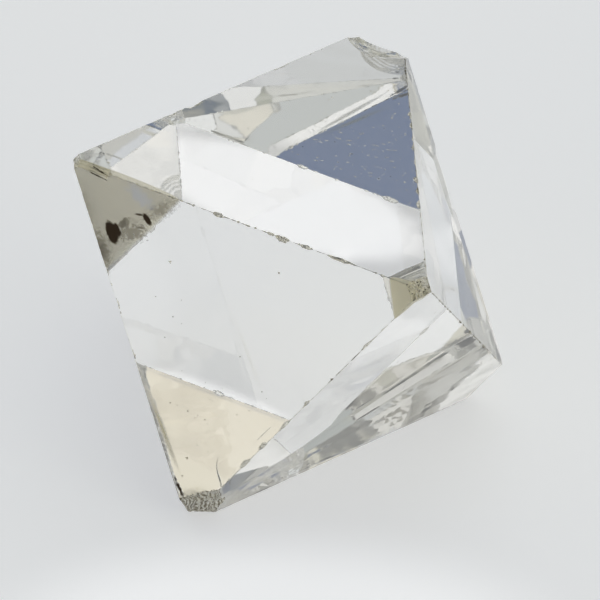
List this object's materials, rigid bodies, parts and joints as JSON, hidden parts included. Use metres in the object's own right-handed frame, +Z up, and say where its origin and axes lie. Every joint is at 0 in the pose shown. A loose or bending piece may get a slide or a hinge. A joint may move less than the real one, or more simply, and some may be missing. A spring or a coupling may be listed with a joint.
{
  "type": "rough diamond",
  "caption": "Rough octahedral diamond crystal lying on one of its faces, with broken corners, growth ledges at one tip and nicked edges.",
  "frame": {"origin": "on the surface that the crystal rests on, under the middle of its bounding box", "axes": "+Z up, square to the face the crystal lies on; +X from the upper corner B to the lower corner E, the crystal's longest way"},
  "size_m": [0.0134, 0.0114, 0.01],
  "materials": {
    "diamond": "clear natural diamond with smooth lustrous growth faces, matt broken corners and a faint warm body colour"
  },
  "bodies": {
    "root": {"rough_diamond": "diamond"}
  },
  "joints": []
}
